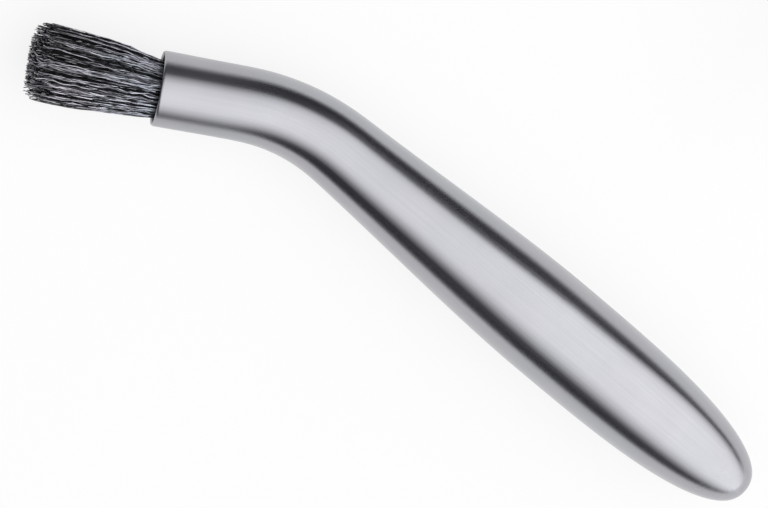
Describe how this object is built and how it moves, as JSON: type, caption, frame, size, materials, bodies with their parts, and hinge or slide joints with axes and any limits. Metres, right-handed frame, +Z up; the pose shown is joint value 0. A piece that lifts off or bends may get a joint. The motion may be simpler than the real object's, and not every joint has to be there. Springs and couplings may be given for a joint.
{
  "type": "coffee machine cleaning brush",
  "caption": "Hand brush with a round hollow steel handle, bent at the neck, and a short flared tuft of black bristles, for sweeping coffee grounds from a machine.",
  "frame": {"origin": "the middle of the bounding box, at table height, with the brush lying on its side as it rests on a table", "axes": "+Z up from the table, +X along the grip towards its butt end, and the neck bends towards -Y"},
  "size_m": [0.178, 0.0452, 0.0238],
  "materials": {
    "satin_steel": "satin brushed, fine lines along the handle",
    "dark_plastic": "matte",
    "grey_plastic": "matte",
    "epoxy": "gloss",
    "binding_wire": "drawn wire",
    "black_bristle": "slightly glossy black hairs"
  },
  "bodies": {
    "root": {"handle_shell_upper": "satin_steel", "handle_shell_lower": "satin_steel", "tuft_sleeve": "dark_plastic", "neck_plug": "grey_plastic", "potting_resin": "epoxy", "root_binding": "binding_wire", "bristle_tuft": "black_bristle"}
  },
  "joints": []
}
